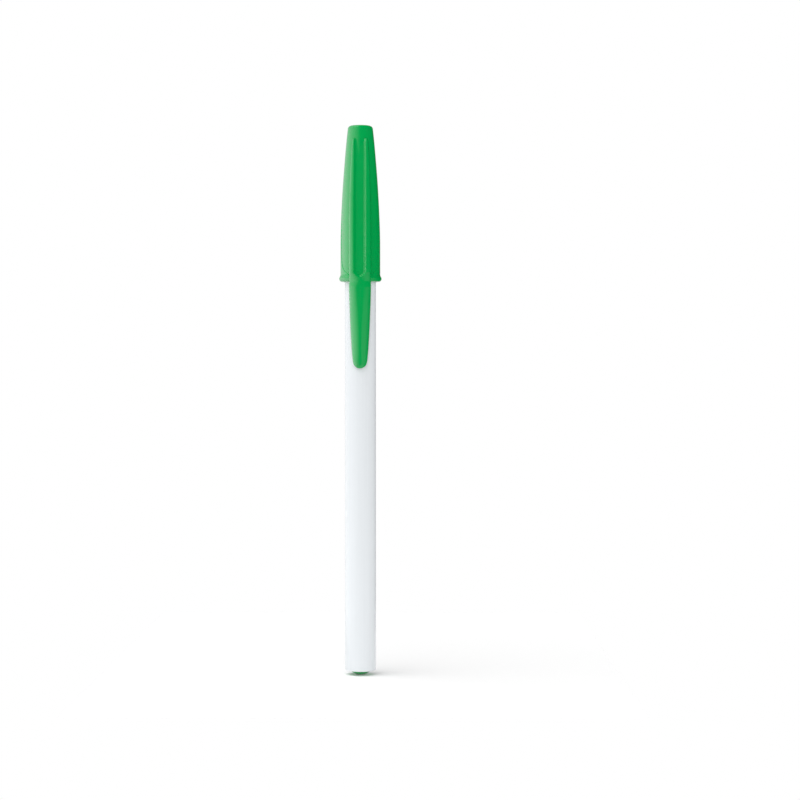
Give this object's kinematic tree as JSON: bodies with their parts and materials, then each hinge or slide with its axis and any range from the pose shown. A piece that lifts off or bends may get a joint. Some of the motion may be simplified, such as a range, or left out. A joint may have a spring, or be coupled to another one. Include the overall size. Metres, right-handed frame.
{
  "type": "stick ballpoint pen",
  "caption": "Slim capped stick ballpoint pen with a round tube barrel, a moulded pull-off cap with a slotted pocket clip, a domed end plug and a ball writing tip.",
  "frame": {"origin": "centre of the flat on the end plug's domed head, the end that the pen stands on", "axes": "+Z along the pen's axis towards the cap's crown, -Y out of the clip's front, +X to the right when the clip is seen from the front"},
  "size_m": [0.0114, 0.0122, 0.148],
  "materials": {
    "barrel_white": "extruded white polystyrene, glossy",
    "moulded_green": "injection-moulded green polypropylene, semi-gloss",
    "tip_brass": "turned",
    "ball_metal": "ground carbide, bright",
    "tube_clear": "extruded natural polypropylene, translucent",
    "green_ink": "green oil-based ink, wet"
  },
  "bodies": {
    "pen": {"barrel": "barrel_white", "end_plug": "moulded_green", "tip_holder": "moulded_green", "writing_tip": "tip_brass", "ink_tube": "tube_clear", "ink": "green_ink"},
    "cap": {"cap": "moulded_green"},
    "ball": {"ball": "ball_metal"}
  },
  "joints": [
    {"name": "cap_slide", "type": "slide", "parent": "pen", "child": "cap", "axis": [0, 0, 1], "range_m": [0, 0.062]},
    {"name": "ball_roll", "type": "hinge", "parent": "pen", "child": "ball", "pos_m": [0, 0, 0.14165], "axis": [1, 0, 0], "continuous": true}
  ]
}
